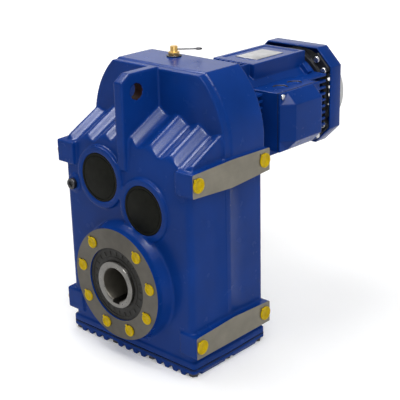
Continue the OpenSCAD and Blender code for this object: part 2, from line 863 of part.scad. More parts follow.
module breather_washer() {
    color("dimgray")
        translate([breather_at[0], breather_at[1], top_z])
            difference() {
                cylinder(d = breather_hex_d + 5, h = washer_t);
                translate([0, 0, -1])
                    cylinder(d = breather_d + 2 * seat_gap, h = washer_t + 2);
            }
}

// Transport pin: a straight wire with an eye at its outer end
module breather_pin() {
    eye_r = 4;
    color("dimgray")
        translate([breather_at[0], breather_at[1], pin_z])
            rotate([0, 0, pin_angle]) {
                translate([-pin_tail, 0, 0])
                    rotate([0, 90, 0])
                        cylinder(d = pin_d, h = pin_len);
                translate([pin_len - pin_tail + eye_r - pin_d / 4, 0, 0])
                    rotate_extrude()
                        translate([eye_r, 0])
                            circle(d = pin_d);
            }
}

// Transit plug: a dished round head over the hole's mouth, a thin sleeve in it and a pull tab
module transit_plug(hole_d, head_d, sleeve_len) {
    sleeve_t = 0.4;
    head_t = 1.8;
    dish_d = head_d * 0.66;
    dish_t = 0.7;
    tab_w = 3;
    tab_len = 2.5;
    tab_turn = 130;
    difference() {
        bar(head_d, -head_t, 0);
        bar(dish_d, -head_t - 1, dish_t - head_t);
    }
    tube(hole_d - 2 * seat_gap, hole_d - 2 * seat_gap - 2 * sleeve_t, -eps, sleeve_len);
    rotate([0, -tab_turn, 0])
        block([head_d / 2 - 1, -head_t, -tab_w / 2], [head_d / 2 + tab_len, -head_t / 3, tab_w / 2]);
}

module flange_plugs() {
    color("gold")
        for (a = flange_hole_angles)
            translate([flange_pcd / 2 * cos(a), 0, flange_pcd / 2 * sin(a)])
                transit_plug(flange_hole_d, flange_hole_d + 6.5, flange_hole_depth / 2);
}

module pad_plugs(side, hole_d) {
    color("gold")
        for (y = pad_hole_ys, z = pad_hole_zs)
            translate([side * pad_span / 2, y, z])
                rotate([0, 0, side * 90])
                    transit_plug(hole_d, right_hole_d + 9, pad_hole_depth / 2);
}

module right_pad_plugs() {
    pad_plugs(1, right_hole_d);
}

module left_pad_plugs() {
    pad_plugs(-1, left_hole_d);
}

// Shaft seal: a ring with a groove on each face, crossed by short radial bars
module output_seal(y) {
    groove_t = 1;
    groove_d = [hollow_shaft_d + 12, output_bearing_d - 10];
    bars = 24;
    bar_w = 1.4;
    color([0.15, 0.15, 0.15]) {
        difference() {
            tube(output_bearing_d - 2 * seat_gap, hollow_shaft_d + 2 * run_gap, y, y + seal_w, output_at);
            for (face_y = [y - 1, y + seal_w - groove_t])
                tube(groove_d[1], groove_d[0], face_y, face_y + groove_t + 1, output_at);
        }
        for (i = [0:bars - 1])
            rotate([0, 360 * i / bars, 0])
                block([groove_d[0] / 2 + 2, y + groove_t / 4, -bar_w / 2],
                    [groove_d[1] / 2 - 1, y + seal_w - groove_t / 4, bar_w / 2]);
    }
}

module output_seal_front() {
    output_seal(seal_recess);
}

module output_seal_rear() {
    output_seal(rear_boss_y - seal_recess - seal_w);
}

module output_bearing_outer_rings() {
    color("silver")
        outer_rings(output_bearing_d - 2 * seat_gap, hollow_shaft_d, output_bearing_w,
            [output_front_y, output_rear_y], output_at);
}

module output_bearing_inner_rings() {
    color("silver")
        inner_rings(output_bearing_d, hollow_shaft_d, output_bearing_w,
            [output_front_y, output_rear_y], output_at);
}

output_key = [16, 4.5];
output_hub_wall = 18;
spacer_wall = 3;
bore_chamfer = 1.5;
circlip_depth = 2;
circlip_ys = [output_front_y - circlip_t, output_rear_y + output_bearing_w];

module hollow_shaft() {
    color("silver")
        difference() {
            bar(hollow_shaft_d, -shaft_proud, rear_boss_y + shaft_proud, output_at);
            bar(bore_d, -shaft_proud - 1, rear_boss_y + shaft_proud + 1, output_at);
            taper(bore_d + 2 * bore_chamfer, bore_d, -shaft_proud, bore_chamfer - shaft_proud, output_at);
            taper(bore_d, bore_d + 2 * bore_chamfer,
                rear_boss_y + shaft_proud - bore_chamfer, rear_boss_y + shaft_proud, output_at);
            block([-keyway_w / 2, -shaft_proud - 1, -bore_d / 2 - keyway_depth],
                [keyway_w / 2, rear_boss_y + shaft_proud + 1, 0]);
            key_block(output_key[0] + 2 * seat_gap, hollow_shaft_d / 2 - output_key[1], hollow_shaft_d,
                stage_3_y - face_3 / 2, stage_3_y + face_3 / 2, output_at);
            for (y = circlip_ys)
                tube(hollow_shaft_d + 2, hollow_shaft_d - 2 * circlip_depth, y, y + circlip_t, output_at);
        }
}

module output_circlips() {
    slot_w = 10;
    color("gray")
        for (y = circlip_ys)
            difference() {
                tube(hollow_shaft_d + 2 * circlip_proud, hollow_shaft_d - 2 * circlip_depth + 2 * seat_gap,
                    y + seat_gap, y + circlip_t - seat_gap, output_at);
                key_block(slot_w, 0, hollow_shaft_d, y - 1, y + circlip_t + 1, output_at);
            }
}

module output_gear() {
    y0 = stage_3_y - face_3 / 2;
    color("gray")
        wheel(module_3, teeth_3[1], face_3, stage_3_y, output_at, output_turn, 1,
            hollow_shaft_d, hollow_shaft_d + 2 * output_hub_wall, [y0, y0 + face_3], output_key);
}

module output_gear_key() {
    color("silver")
        key_block(output_key[0], hollow_shaft_d / 2 - output_key[1], hollow_shaft_d / 2 + output_key[1],
            stage_3_y - face_3 / 2 + seat_gap, stage_3_y + face_3 / 2 - seat_gap, output_at);
}

module output_spacers() {
    color("silver") {
        tube(hollow_shaft_d + 2 * spacer_wall, hollow_shaft_d + 2 * seat_gap,
            output_front_y + output_bearing_w, stage_3_y - face_3 / 2, output_at);
        tube(hollow_shaft_d + 2 * spacer_wall, hollow_shaft_d + 2 * seat_gap,
            stage_3_y + face_3 / 2, output_rear_y, output_at);
    }
}

// Shafts with a pinion cut on them
shaft_end = 1;
front_seat_y = front_bearing_y - shaft_end;
hub_0 = front_bearing_y + shaft_bearing_w;
rear_end_y = rear_bearing_y + shaft_bearing_w - 1;
shaft_key = [10, 3.5];
low_seat_d = 38;
high_seat_d = 36;
collar_step = 8;
collar_t = 3;
pinion_extra = 2;
low_pinion_face = face_3 + 2 * pinion_extra;
low_hub_y = [hub_0, stage_3_y - low_pinion_face / 2 - 1];
high_pinion_face = face_2 + 2;
high_hub_y = [stage_1_y - face_1 / 2 - 2, rear_bearing_y];

module bearing_seats(at) {
    bar(shaft_bearing_bore, front_seat_y, hub_0 + 1, at);
    bar(shaft_bearing_bore, rear_bearing_y - 1, rear_end_y, at);
}

module low_pinion_shaft() {
    color("gray")
        difference() {
            union() {
                helical(module_3, teeth_3[0], low_pinion_face, stage_3_y, low_at, low_pinion_turn, -1, 4);
                bearing_seats(low_at);
                bar(low_seat_d, hub_0, rear_bearing_y, low_at);
                bar(low_seat_d + collar_step, low_hub_y[1], stage_3_y, low_at);
            }
            key_block(shaft_key[0] + 2 * seat_gap, low_seat_d / 2 - shaft_key[1], low_seat_d,
                low_hub_y[0] - 1, low_hub_y[1], low_at);
        }
}

module low_gear() {
    color("gray")
        wheel(module_2, teeth_2[1], face_2, stage_2_y, low_at, low_gear_turn, 1,
            low_seat_d, low_seat_d + 16, low_hub_y, shaft_key);
}

module shaft_key_bar(seat_d, hub_y, at) {
    color("silver")
        key_block(shaft_key[0], seat_d / 2 - shaft_key[1], seat_d / 2 + shaft_key[1],
            hub_y[0] + seat_gap, hub_y[1] - seat_gap, at);
}

module low_gear_key() {
    shaft_key_bar(low_seat_d, low_hub_y, low_at);
}

module high_pinion_shaft() {
    color("gray")
        difference() {
            union() {
                helical(module_2, teeth_2[0], high_pinion_face, stage_2_y, high_at, high_pinion_turn, -1, 4);
                bearing_seats(high_at);
                bar(high_seat_d, hub_0, rear_bearing_y, high_at);
                bar(high_seat_d + collar_step, high_hub_y[0] - collar_t, high_hub_y[0], high_at);
            }
            key_block(shaft_key[0] + 2 * seat_gap, high_seat_d / 2 - shaft_key[1], high_seat_d,
                high_hub_y[0], high_hub_y[1] + 1, high_at);
        }
}

module high_gear() {
    color("gray")
        wheel(module_1, teeth_1[1], face_1, stage_1_y, high_at, high_gear_turn, 1,
            high_seat_d, high_seat_d + 14, high_hub_y, shaft_key);
}

module high_gear_key() {
    shaft_key_bar(high_seat_d, high_hub_y, high_at);
}

module low_bearing_outer_rings() {
    color("silver")
        outer_rings(cap_d - 2 * seat_gap, shaft_bearing_bore, shaft_bearing_w,
            [front_bearing_y, rear_bearing_y], low_at);
}

module low_bearing_inner_rings() {
    color("silver")
        inner_rings(cap_d, shaft_bearing_bore, shaft_bearing_w, [front_bearing_y, rear_bearing_y], low_at);
}

module high_bearing_outer_rings() {
    color("silver")
        outer_rings(cap_d - 2 * seat_gap, shaft_bearing_bore, shaft_bearing_w,
            [front_bearing_y, rear_bearing_y], high_at);
}

module high_bearing_inner_rings() {
    color("silver")
        inner_rings(cap_d, shaft_bearing_bore, shaft_bearing_w, [front_bearing_y, rear_bearing_y], high_at);
}

// Motor flange: plate on the housing, neck with the drive-end bearing, and the frame's front disc
motor_seal_d = 47;
motor_hole_d = 34;

module motor_flange() {
    color("royalblue")
        difference() {
            union() {
                bar(2 * spigot_r, rear_y - spigot_len, rear_y + 1, motor_at);
                bar(2 * motor_plate_r, rear_y, motor_plate_y, motor_at);
                bar(2 * neck_r, motor_plate_y - 1, neck_y + 1, motor_at);
                bar(frame_d, neck_y, frame_y, motor_at);
            }
            bar(motor_hole_d, rear_y - spigot_len - 1, frame_y + 1, motor_at);
            bar(motor_seal_d, rear_y - spigot_len - 1, rear_y, motor_at);
            bar(motor_bearing_d, motor_plate_y, frame_y + 1, motor_at);
            for (i = [0:3])
                bar(cover_bolt_d + 1, rear_y - 1, motor_plate_y + 1,
                    motor_at + motor_bolt_r * [cos(90 * i), sin(90 * i)]);
        }
}

module motor_flange_bolts() {
    color("silver")
        for (i = [0:3])
            translate([motor_bolt_r * cos(90 * i), motor_plate_y, motor_z + motor_bolt_r * sin(90 * i)]) {
                bar(cover_bolt_d - 2 * seat_gap, -motor_plate_t - wall + 3, 0);
                translate([0, cover_bolt_head_h, 0])
                    rotate([90, 0, 0])
                        cylinder(d = cover_bolt_head / cos(30), h = cover_bolt_head_h, $fn = 6);
            }
}

motor_seal_w = 7;
motor_shaft_d = 24;
rotor_shaft_d = 30;

module motor_shaft_seal() {
    color([0.15, 0.15, 0.15])
        tube(motor_seal_d - 2 * seat_gap, motor_shaft_d + 2 * run_gap,
            rear_y - motor_seal_w, rear_y, motor_at);
}

input_pinion_face = face_1 + 2;
input_pinion_y = [stage_1_y - input_pinion_face / 2, stage_1_y + input_pinion_face / 2];
motor_bearing_y = motor_plate_y;
shaft_tail_y = fan_y + fan_len - 1;

module motor_shaft() {
    color("silver") {
        bar(pinion_seat_d, input_pinion_y[0] - 1, input_pinion_y[1] + 1, motor_at);
        bar(motor_shaft_d, input_pinion_y[1], motor_bearing_y + 1, motor_at);
        bar(motor_bearing_bore, motor_bearing_y, motor_bearing_y + motor_bearing_w + 1, motor_at);
        bar(rotor_shaft_d, motor_bearing_y + motor_bearing_w, motor_rear_bearing_y, motor_at);
        bar(motor_bearing_bore, motor_rear_bearing_y - 1, motor_rear_bearing_y + motor_bearing_w, motor_at);
        bar(fan_seat_d, motor_rear_bearing_y + motor_bearing_w - 1, shaft_tail_y, motor_at);
    }
}

module input_pinion() {
    color("gray")
        difference() {
            helical(module_1, teeth_1[0], input_pinion_face, stage_1_y, motor_at, input_pinion_turn, -1, 4);
            bar(pinion_seat_d + 2 * seat_gap, input_pinion_y[0] - 1, input_pinion_y[1] + 1, motor_at);
        }
}

module rotor_core() {
    air_gap = 0.6;
    ring_d = stator_bore - 14;
    color("silver")
        difference() {
            union() {
                bar(stator_bore - 2 * air_gap, core_y, core_y + core_len, motor_at);
                bar(ring_d, core_y - 8, core_y + core_len + 8, motor_at);
            }
            bar(rotor_shaft_d + 2 * seat_gap, core_y - 9, core_y + core_len + 9, motor_at);
        }
}

module cooling_fan() {
    hub_d = fan_seat_d + 14;
    fan_d = cowl_w - 42;
    blade_t = 3;
    blades = 9;
    color([0.1, 0.1, 0.1])
        difference() {
            union() {
                bar(hub_d, fan_y, fan_y + fan_len, motor_at);
                bar(fan_d, fan_y, fan_y + blade_t, motor_at);
                for (i = [0:blades - 1])
                    translate([0, 0, motor_z])
                        rotate([0, 360 * i / blades, 0])
                            block([hub_d / 2 - 1, fan_y, -blade_t / 2],
                                [fan_d / 2 - 3, fan_y + fan_len, blade_t / 2]);
            }
            bar(fan_seat_d + 2 * seat_gap, fan_y - 1, fan_y + fan_len + 1, motor_at);
        }
}

module motor_bearing_outer_rings() {
    color("silver")
        outer_rings(motor_bearing_d - 2 * seat_gap, motor_bearing_bore, motor_bearing_w,
            [motor_bearing_y, motor_rear_bearing_y], motor_at);
}

module motor_bearing_inner_rings() {
    color("silver")
        inner_rings(motor_bearing_d, motor_bearing_bore, motor_bearing_w,
            [motor_bearing_y, motor_rear_bearing_y], motor_at);
}

// Where a fin's foot lies inside the frame's round, at an offset from the frame's middle
function fin_foot(offset) = sqrt(pow(frame_d / 2, 2) - pow(abs(offset) + fin_t / 2, 2)) - fin_sink;

// Row of fins along Y, standing out of the frame along +X before turning
module fin_row(turn, count, y0, y1) {
    for (i = [0:count - 1]) {
        offset = (i - (count - 1) / 2) * fin_pitch;
        translate([0, 0, motor_z])
            rotate([0, turn, 0])
                block([fin_foot(offset), y0, offset - fin_t / 2],
                    [frame_d / 2 + fin_h, y1, offset + fin_t / 2]);
    }
}

module motor_frame() {
    foot_t = 14;
    color("royalblue")
        difference() {
            union() {
                bar(frame_d, frame_y, frame_end_y, motor_at);
                block([-panel_w / 2, panel_y, motor_z], [panel_w / 2, panel_end_y, motor_z + panel_h]);
                fin_row(-90, 7, frame_y + 2, panel_y + 1);
                fin_row(90, 9, frame_y + 2, frame_end_y - 2);
                fin_row(180, 9, frame_y + 2, frame_end_y - 2);
                fin_row(0, 9, box_y + box_len + 3, frame_end_y - 2);
                fin_row(0, 9, frame_y + 2, box_y - 3);
                for (a = [45:90:315])
                    translate([0, 0, motor_z])
                        rotate([0, a, 0])
                            block([frame_d / 2 - 8, panel_end_y - foot_t, -9],
                                [frame_d / 2 + 8, panel_end_y - 2, 9]);
            }
            block([panel_edge - panel_w / 2, panel_y + 2 * panel_edge, motor_z + panel_h - panel_sink],
                [panel_w / 2 - panel_edge, panel_end_y - panel_edge, motor_z + panel_h + 1]);
            bar(2 * stator_r, frame_y - 1, frame_end_y + 1, motor_at);
        }
}

module stator_core() {
    slot_w = 4;
    slot_d = 18;
    color("gray")
        difference() {
            tube(2 * (stator_r - seat_gap), stator_bore, core_y, core_y + core_len, motor_at);
            for (i = [0:23])
                translate([0, 0, motor_z])
                    rotate([0, 15 * i, 0])
                        block([0, core_y - 1, -slot_w / 2],
                            [stator_bore / 2 + slot_d / 2, core_y + core_len + 1, slot_w / 2]);
        }
}

module stator_windings() {
    inside = stator_bore / 2 + 2;
    outside = stator_r - 3;
    edge = 4;
    color("peru")
        for (y = [core_y - winding_len, core_y + core_len])
            translate([0, y + winding_len, motor_z])
                rotate([90, 0, 0])
                    rotate_extrude()
                        polygon([[inside + edge, 0], [outside - edge, 0], [outside, edge],
                            [outside, winding_len - edge], [outside - edge, winding_len],
                            [inside + edge, winding_len], [inside, winding_len - edge], [inside, edge]]);
}

lug_screw_head_h = 4;
lug_y = [frame_end_y + lug_screw_head_h + 0.5, frame_end_y + lug_screw_head_h + lug_len];
tie_at = cowl_w * [0.346, 0.385];
cowl_screw_at = cowl_w * [0.43, 0.282];
screw_d = 5;

module rear_end_shield() {
    hub_d = motor_bearing_d + 16;
    spigot = 5;
    color([0.12, 0.12, 0.14])
        difference() {
            union() {
                bar(shield_d, frame_end_y, shield_y, motor_at);
                bar(2 * (stator_r - seat_gap), frame_end_y - spigot, frame_end_y + 1, motor_at);
                bar(hub_d, motor_rear_bearing_y - 2, shield_y, motor_at);
                intersection() {
                    translate([0, 0, motor_z])
                        along_y(lug_y[0], lug_y[1])
                            octagon(cowl_w - 2 * cowl_t - 2 * seat_gap, cowl_flat);
                    for (a = [42, 138, 222, 318])
                        translate([0, 0, motor_z])
                            rotate([0, -a, 0])
                                block([frame_d / 2 - 8, lug_y[0] - 1, -17], [cowl_w, lug_y[1] + 1, 17]);
                }
            }
            difference() {
                bar(frame_d - 24, frame_end_y - spigot - 1, shield_y - 6, motor_at);
                bar(hub_d, frame_end_y - spigot - 2, shield_y, motor_at);
            }
            bar(motor_bearing_d, motor_rear_bearing_y - 3, motor_rear_bearing_y + motor_bearing_w, motor_at);
            bar(motor_bearing_d - 10, frame_end_y, shield_y + 1, motor_at);
            for (sx = [-1, 1], sz = [-1, 1], p = [tie_at, cowl_screw_at])
                bar(screw_d, lug_y[0] - 1, lug_y[0] + 10, [sx * p[0], motor_z + sz * p[1]]);
        }
}

// Pan-head screws whose heads lie on the front of the end shield's lugs
module lug_screws(p) {
    color("silver")
        for (sx = [-1, 1], sz = [-1, 1])
            translate([sx * p[0], lug_y[0], motor_z + sz * p[1]]) {
                bar(screw_d - 2 * seat_gap, -1, 9);
                bar(2 * screw_d, -lug_screw_head_h, 0);
            }
}

module tie_bolts() {
    lug_screws(tie_at);
}

module fan_cowl_screws() {
    lug_screws(cowl_screw_at);
}

module fan_cowl() {
    mouth_d = grille_d - 12;
    color("royalblue")
        difference() {
            translate([0, 0, motor_z])
                along_y(cowl_y, cowl_end_y)
                    octagon(cowl_w, cowl_flat);
            translate([0, 0, motor_z])
                along_y(cowl_y - 1, cowl_end_y - cowl_t)
                    octagon(cowl_w - 2 * cowl_t, cowl_flat);
            bar(mouth_d, cowl_y, cowl_end_y + 1, motor_at);
        }
}

// Domed guard with rings of slots
module fan_grille() {
    skin = 2;
    rim_r = grille_d / 2;
    round_r = grille_depth - skin;
    slots = 16;
    slot_w = 5;
    color("gainsboro")
        difference() {
            translate([0, cowl_end_y, motor_z])
                rotate([-90, 0, 0])
                    rotate_extrude()
                        polygon(concat(
                            [[rim_r - skin, 0], [rim_r, 0]],
                            arc([rim_r - round_r, grille_depth - round_r], round_r, 0, 90, 8),
                            [[0, grille_depth], [0, grille_depth - skin]],
                            arc([rim_r - round_r, grille_depth - round_r], round_r - skin, 90, 0, 8)));
            for (i = [0:slots - 1], r = [[16, 26], [31, 44]])
                translate([0, 0, motor_z])
                    rotate([0, 360 * i / slots, 0])
                        block([r[0], cowl_end_y + 5, -slot_w / 2],
                            [r[1], cowl_end_y + grille_depth + 1, slot_w / 2]);
        }
}

// Terminal box on the motor's right side; two screws at opposite corners hold its lid
module box_posts(d, x0, x1) {
    mid = [box_y + box_len / 2, motor_z];
    off = [box_len / 2 - lid_screw_inset, box_h / 2 - lid_screw_inset];
    for (side = [-1, 1])
        translate([x0, mid[0] + side * off[0], mid[1] - side * off[1]])
            rotate([0, 90, 0])
                cylinder(d = d, h = x1 - x0);
}

module terminal_box() {
    post_depth = 20;
    color("royalblue")
        difference() {
            block([frame_d / 4, box_y, box_z], [box_face_x, box_y + box_len, box_z + box_h]);
            bar(frame_d + 2 * seat_gap, box_y - 1, box_y + box_len + 1, motor_at);
            difference() {
                block([box_floor_x, box_y + box_t, box_z + box_t],
                    [box_face_x + 1, box_y + box_len - box_t, box_z + box_h - box_t]);
                box_posts(box_post_d, 0, box_face_x + 2);
            }
            box_posts(lid_screw_d, box_face_x - post_depth, box_face_x + 1);
            for (y = entry_ys)
                translate([entry_x, y, box_z + box_h]) {
                    translate([0, 0, -entry_seat])
                        cylinder(d = entry_d, h = entry_seat + 1);
                    translate([0, 0, -box_t - 1])
                        cylinder(d = entry_hole_d, h = box_t + 1);
                }
        }
}

module terminal_box_gasket() {
    color("dimgray")
        difference() {
            block([box_face_x, box_y, box_z], [lid_seat_x, box_y + box_len, box_z + box_h]);
            difference() {
                block([box_face_x - 1, box_y + box_t, box_z + box_t],
                    [lid_seat_x + 1, box_y + box_len - box_t, box_z + box_h - box_t]);
                box_posts(box_post_d, box_face_x - 2, lid_seat_x + 2);
            }
            box_posts(lid_screw_d + 0.5, box_face_x - 1, lid_seat_x + 1);
        }
}

// Side of the lid with its bevels: x runs outwards, the other way along the edge
module lid_side(length) {
    edge_x = lid_seat_x + lid_edge;
    h = length / 2;
    polygon([[lid_seat_x, -h], [edge_x, -h], [box_reach, lid_bevel - h],
        [box_reach, h - lid_bevel], [edge_x, h], [lid_seat_x, h]]);
}

// Cut that leaves a flat at the rim's height for a screw, and a slanted corner over it.
// It is drawn for a corner at the origin, with the lid along +Y
module lid_corner_cut() {
    rim_u = lid_corner / sqrt(2);
    face_u = lid_bevel * sqrt(2);
    linear_extrude(2 * lid_corner, center = true)
        polygon([[lid_rim_x, -lid_corner], [lid_rim_x, rim_u], [box_reach, face_u],
            [box_reach + 1, face_u], [box_reach + 1, -lid_corner]]);
}

module terminal_box_lid() {
    lid_skin = 3;
    mid_y = box_y + box_len / 2;
    hollow = [box_len / 2 - lid_bevel, box_h / 2 - lid_bevel];
    color("royalblue")
        difference() {
            intersection() {
                translate([0, mid_y, box_z])
                    linear_extrude(box_h)
                        lid_side(box_len);
                translate([0, 0, motor_z])
                    along_y(box_y, box_y + box_len)
                        lid_side(box_h);
            }
            block([lid_seat_x - 1, mid_y - hollow[0], motor_z - hollow[1]],
                [box_reach - lid_skin, mid_y + hollow[0], motor_z + hollow[1]]);
            box_posts(lid_screw_d + 0.5, lid_seat_x - 1, box_reach);
            for (sy = [-1, 1], sz = [-1, 1])
                translate([0, mid_y + sy * box_len / 2, motor_z + sz * box_h / 2])
                    rotate([-sz * (90 + sy * 45), 0, 0])
                        lid_corner_cut();
        }
}

module terminal_box_screws() {
    screw_len = 14;
    head_h = 3;
    color("silver") {
        box_posts(lid_screw_d - 2 * seat_gap, box_face_x - screw_len, lid_rim_x + 1);
        box_posts(lid_screw_head_d, lid_rim_x, lid_rim_x + head_h);
    }
}

module terminal_block() {
    size = [12, 0.45 * box_len, 0.38 * box_h];
    stud_pitch = [size[1] / 3, size[2] / 2];
    stud_d = 5;
    mid_y = box_y + box_len / 2;
    lo = [box_floor_x, mid_y - size[1] / 2, motor_z - size[2] / 2];
    color("ivory")
        union() {
            block(lo, lo + size);
            for (i = [-1:1], j = [-0.5, 0.5])
                translate([lo[0] + size[0] - 1, mid_y + i * stud_pitch[0], motor_z + j * stud_pitch[1]])
                    rotate([0, 90, 0])
                        cylinder(d = stud_d, h = 7);
        }
}

// Blanks pressed into the entries, a little below the box's surface
module cable_entry_plugs() {
    blank_t = 1.2;
    dish = 0.6;
    color("royalblue")
        for (y = entry_ys)
            translate([entry_x, y, box_z + box_h - entry_seat])
                difference() {
                    union() {
                        cylinder(d = entry_d - 2 * seat_gap, h = blank_t);
                        translate([0, 0, entry_seat - box_t])
                            cylinder(d = entry_hole_d - 2 * seat_gap, h = box_t - entry_seat + blank_t);
                    }
                    translate([0, 0, blank_t - dish])
                        cylinder(d = entry_d - 6, h = dish + 1);
                }
}

module nameplate() {
    corner = [-plate_size[0] / 2, plate_y, motor_z + panel_h - panel_sink];
    color("silver")
        block(corner, corner + plate_size);
}

gear_housing();
bottom_cover();
bottom_cover_gasket();
bottom_cover_bolts();
closing_cap_upper();
closing_cap_lower();
oil_level_plug();
oil_drain_plug();
breather_valve();
breather_washer();
breather_pin();
flange_plugs();
right_pad_plugs();
left_pad_plugs();
output_seal_front();
output_seal_rear();
output_bearing_outer_rings();
output_bearing_inner_rings();
hollow_shaft();
output_gear();
output_gear_key();
output_spacers();
output_circlips();
low_pinion_shaft();
low_gear();
low_gear_key();
low_bearing_outer_rings();
low_bearing_inner_rings();
high_pinion_shaft();
high_gear();
high_gear_key();
high_bearing_outer_rings();
high_bearing_inner_rings();
motor_flange();
motor_flange_bolts();
motor_shaft_seal();
motor_shaft();
input_pinion();
rotor_core();
cooling_fan();
motor_bearing_outer_rings();
motor_bearing_inner_rings();
motor_frame();
stator_core();
stator_windings();
rear_end_shield();
tie_bolts();
fan_cowl();
fan_grille();
fan_cowl_screws();
terminal_box();
terminal_box_gasket();
terminal_box_lid();
terminal_box_screws();
terminal_block();
cable_entry_plugs();
nameplate();
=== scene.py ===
"""Looks of the parallel-shaft geared motor: castings, finishes, floor, light and camera."""

import json
import math

import bmesh
import bpy
from mathutils import Matrix, Vector


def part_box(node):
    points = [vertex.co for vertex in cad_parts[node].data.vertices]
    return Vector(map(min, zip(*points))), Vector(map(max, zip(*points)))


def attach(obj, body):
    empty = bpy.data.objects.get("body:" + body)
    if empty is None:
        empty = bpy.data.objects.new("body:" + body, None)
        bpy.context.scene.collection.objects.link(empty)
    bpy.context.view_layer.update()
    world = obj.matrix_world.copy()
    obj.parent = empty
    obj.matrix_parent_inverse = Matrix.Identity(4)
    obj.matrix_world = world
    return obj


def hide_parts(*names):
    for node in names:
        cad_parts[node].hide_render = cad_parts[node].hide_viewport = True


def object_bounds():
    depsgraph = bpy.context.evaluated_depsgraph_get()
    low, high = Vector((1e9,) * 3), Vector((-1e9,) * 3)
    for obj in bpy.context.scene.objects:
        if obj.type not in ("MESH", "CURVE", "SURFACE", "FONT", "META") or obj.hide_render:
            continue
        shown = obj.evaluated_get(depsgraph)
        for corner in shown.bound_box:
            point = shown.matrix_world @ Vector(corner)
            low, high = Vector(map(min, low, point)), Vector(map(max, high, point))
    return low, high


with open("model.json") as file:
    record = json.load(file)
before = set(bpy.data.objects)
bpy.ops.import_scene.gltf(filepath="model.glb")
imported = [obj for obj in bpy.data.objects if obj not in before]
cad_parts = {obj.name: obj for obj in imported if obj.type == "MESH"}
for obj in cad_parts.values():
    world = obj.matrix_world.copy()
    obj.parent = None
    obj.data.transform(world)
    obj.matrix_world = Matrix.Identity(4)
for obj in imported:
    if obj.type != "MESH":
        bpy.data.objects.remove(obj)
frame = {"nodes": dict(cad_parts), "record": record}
cad_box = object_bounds()
nodes = frame["nodes"]
record = frame["record"]
body_of = {node: body for body, names in record["behaviour"]["bodies"].items() for node in names}
slot_of = {part["node"]: part["material_slot"] for part in record["subparts"]}
mounts = {mount["name"]: mount for mount in record["mounts"]}

MM = 0.001

# Photograph's camera
IMAGE_PX = 400
FOCAL_PX = 1021.45
SENSOR_MM = 36.0
CAMERA_AT = Vector((996.3, -890.5, 615.1)) * MM
CAMERA_AZIMUTH = math.radians(42.925)
CAMERA_ELEVATION = math.radians(20.192)
CAMERA_ROLL = math.radians(-1.434)

# Colours, in linear light
ENAMEL = (0.003, 0.033, 0.195)
FLANGE_METAL = (0.118, 0.110, 0.096)
PAD_METAL = (0.20, 0.186, 0.152)
RUSTED_BORE = (0.017, 0.006, 0.004)
OILED_BORE = (0.13, 0.12, 0.10)

# Noise values between which a clouded colour goes from its one tone to its other
CLOUD_EDGES = (0.3, 0.7)

# Mesh tolerances: joining points, finding a plane's points, cutting at a plane
MERGE_DISTANCE = 1e-6
PLANE_TOLERANCE = 1e-5
CUT_TOLERANCE = 1e-7
# Angles between two faces: up to the first they are one flat, past the second their edge is eased
FLAT_ANGLE = math.radians(0.5)
SHARP_ANGLE = math.radians(30.0)
# An angle past this one is still shaded as a sharp edge after the easing
SHADED_SHARP_ANGLE = math.radians(35.0)

# Floor and world: each glow is the light shown to the camera and in reflections
FLOOR_Z = cad_box[0][2]
FLOOR_SIZE = 40.0
FLOOR_COLOUR = (0.9, 0.9, 0.9)
FLOOR_GLOW = (0.2, 0.72)
FLOOR_GLOW_REACH = (0.9, 3.0)
WORLD_LIGHT = 0.35
HORIZON_GLOW_REACH = 0.25

# Lamps: name, place, width, height and power, and whether gloss alone shows it
AIM = (0.0, 0.1, 0.15)
LAMPS = (
    ("key_left", (-0.75, 0.15, 1.95), 1.4, 1.4, 21.0, False),
    ("key_right", (0.85, -0.2, 1.9), 1.4, 1.4, 21.0, False),
    ("strip_left", (-0.75, 0.15, 1.8), 0.4, 0.8, 38.0, True),
    ("strip_right", (0.6, -0.16, 1.8), 0.4, 0.45, 42.0, True),
    ("fill_light", (1.9, -1.7, 1.4), 1.6, 1.6, 16.0, False),
    ("back_light", (-1.35, 2.2, 1.05), 1.6, 0.9, 4.5, False),
)


# Node trees; an owner is a material or the world

def shader(name, base, **sockets):
    """New node material; sockets name further inputs of its Principled shader."""
    material = bpy.data.materials.new(name)
    material.use_nodes = True
    bsdf = material.node_tree.nodes["Principled BSDF"]
    bsdf.inputs["Base Color"].default_value = (*base, 1.0)
    for socket, value in sockets.items():
        bsdf.inputs[socket.replace("_", " ")].default_value = value
    return material, bsdf


def add(owner, kind, inputs=(), **settings):
    """New node with its settings and the values of, or links into, its inputs."""
    tree = owner.node_tree
    node = tree.nodes.new(kind)
    for key, value in settings.items():
        setattr(node, key, value)
    for socket, value in inputs:
        if isinstance(value, bpy.types.NodeSocket):
            tree.links.new(value, node.inputs[socket])
        else:
            node.inputs[socket].default_value = value
    return node


def link(owner, output, node, socket):
    owner.node_tree.links.new(output, node.inputs[socket])


def object_coordinates(owner):
    return add(owner, "ShaderNodeTexCoord").outputs["Object"]


def larger(owner, first, second):
    return add(owner, "ShaderNodeMath", [(0, first), (1, second)], operation="MAXIMUM").outputs[0]


def product(owner, first, second):
    return add(owner, "ShaderNodeMath", [(0, first), (1, second)], operation="MULTIPLY").outputs[0]


def spread(owner, value, to, over=(0.0, 1.0)):
    """Number that goes from to[0] to to[1] as a value goes from over[0] to over[1]."""
    node = add(owner, "ShaderNodeMapRange", [
        ("Value", value), ("From Min", over[0]), ("From Max", over[1]), ("To Min", to[0]), ("To Max", to[1])])
    return node.outputs["Result"]


def noise(material, waves, detail=3.0, vector=None):
    """Noise value in object space; waves is their number per metre."""
    vector = vector or object_coordinates(material)
    node = add(material, "ShaderNodeTexNoise", [("Vector", vector), ("Scale", waves), ("Detail", detail)])
    return node.outputs["Fac"]


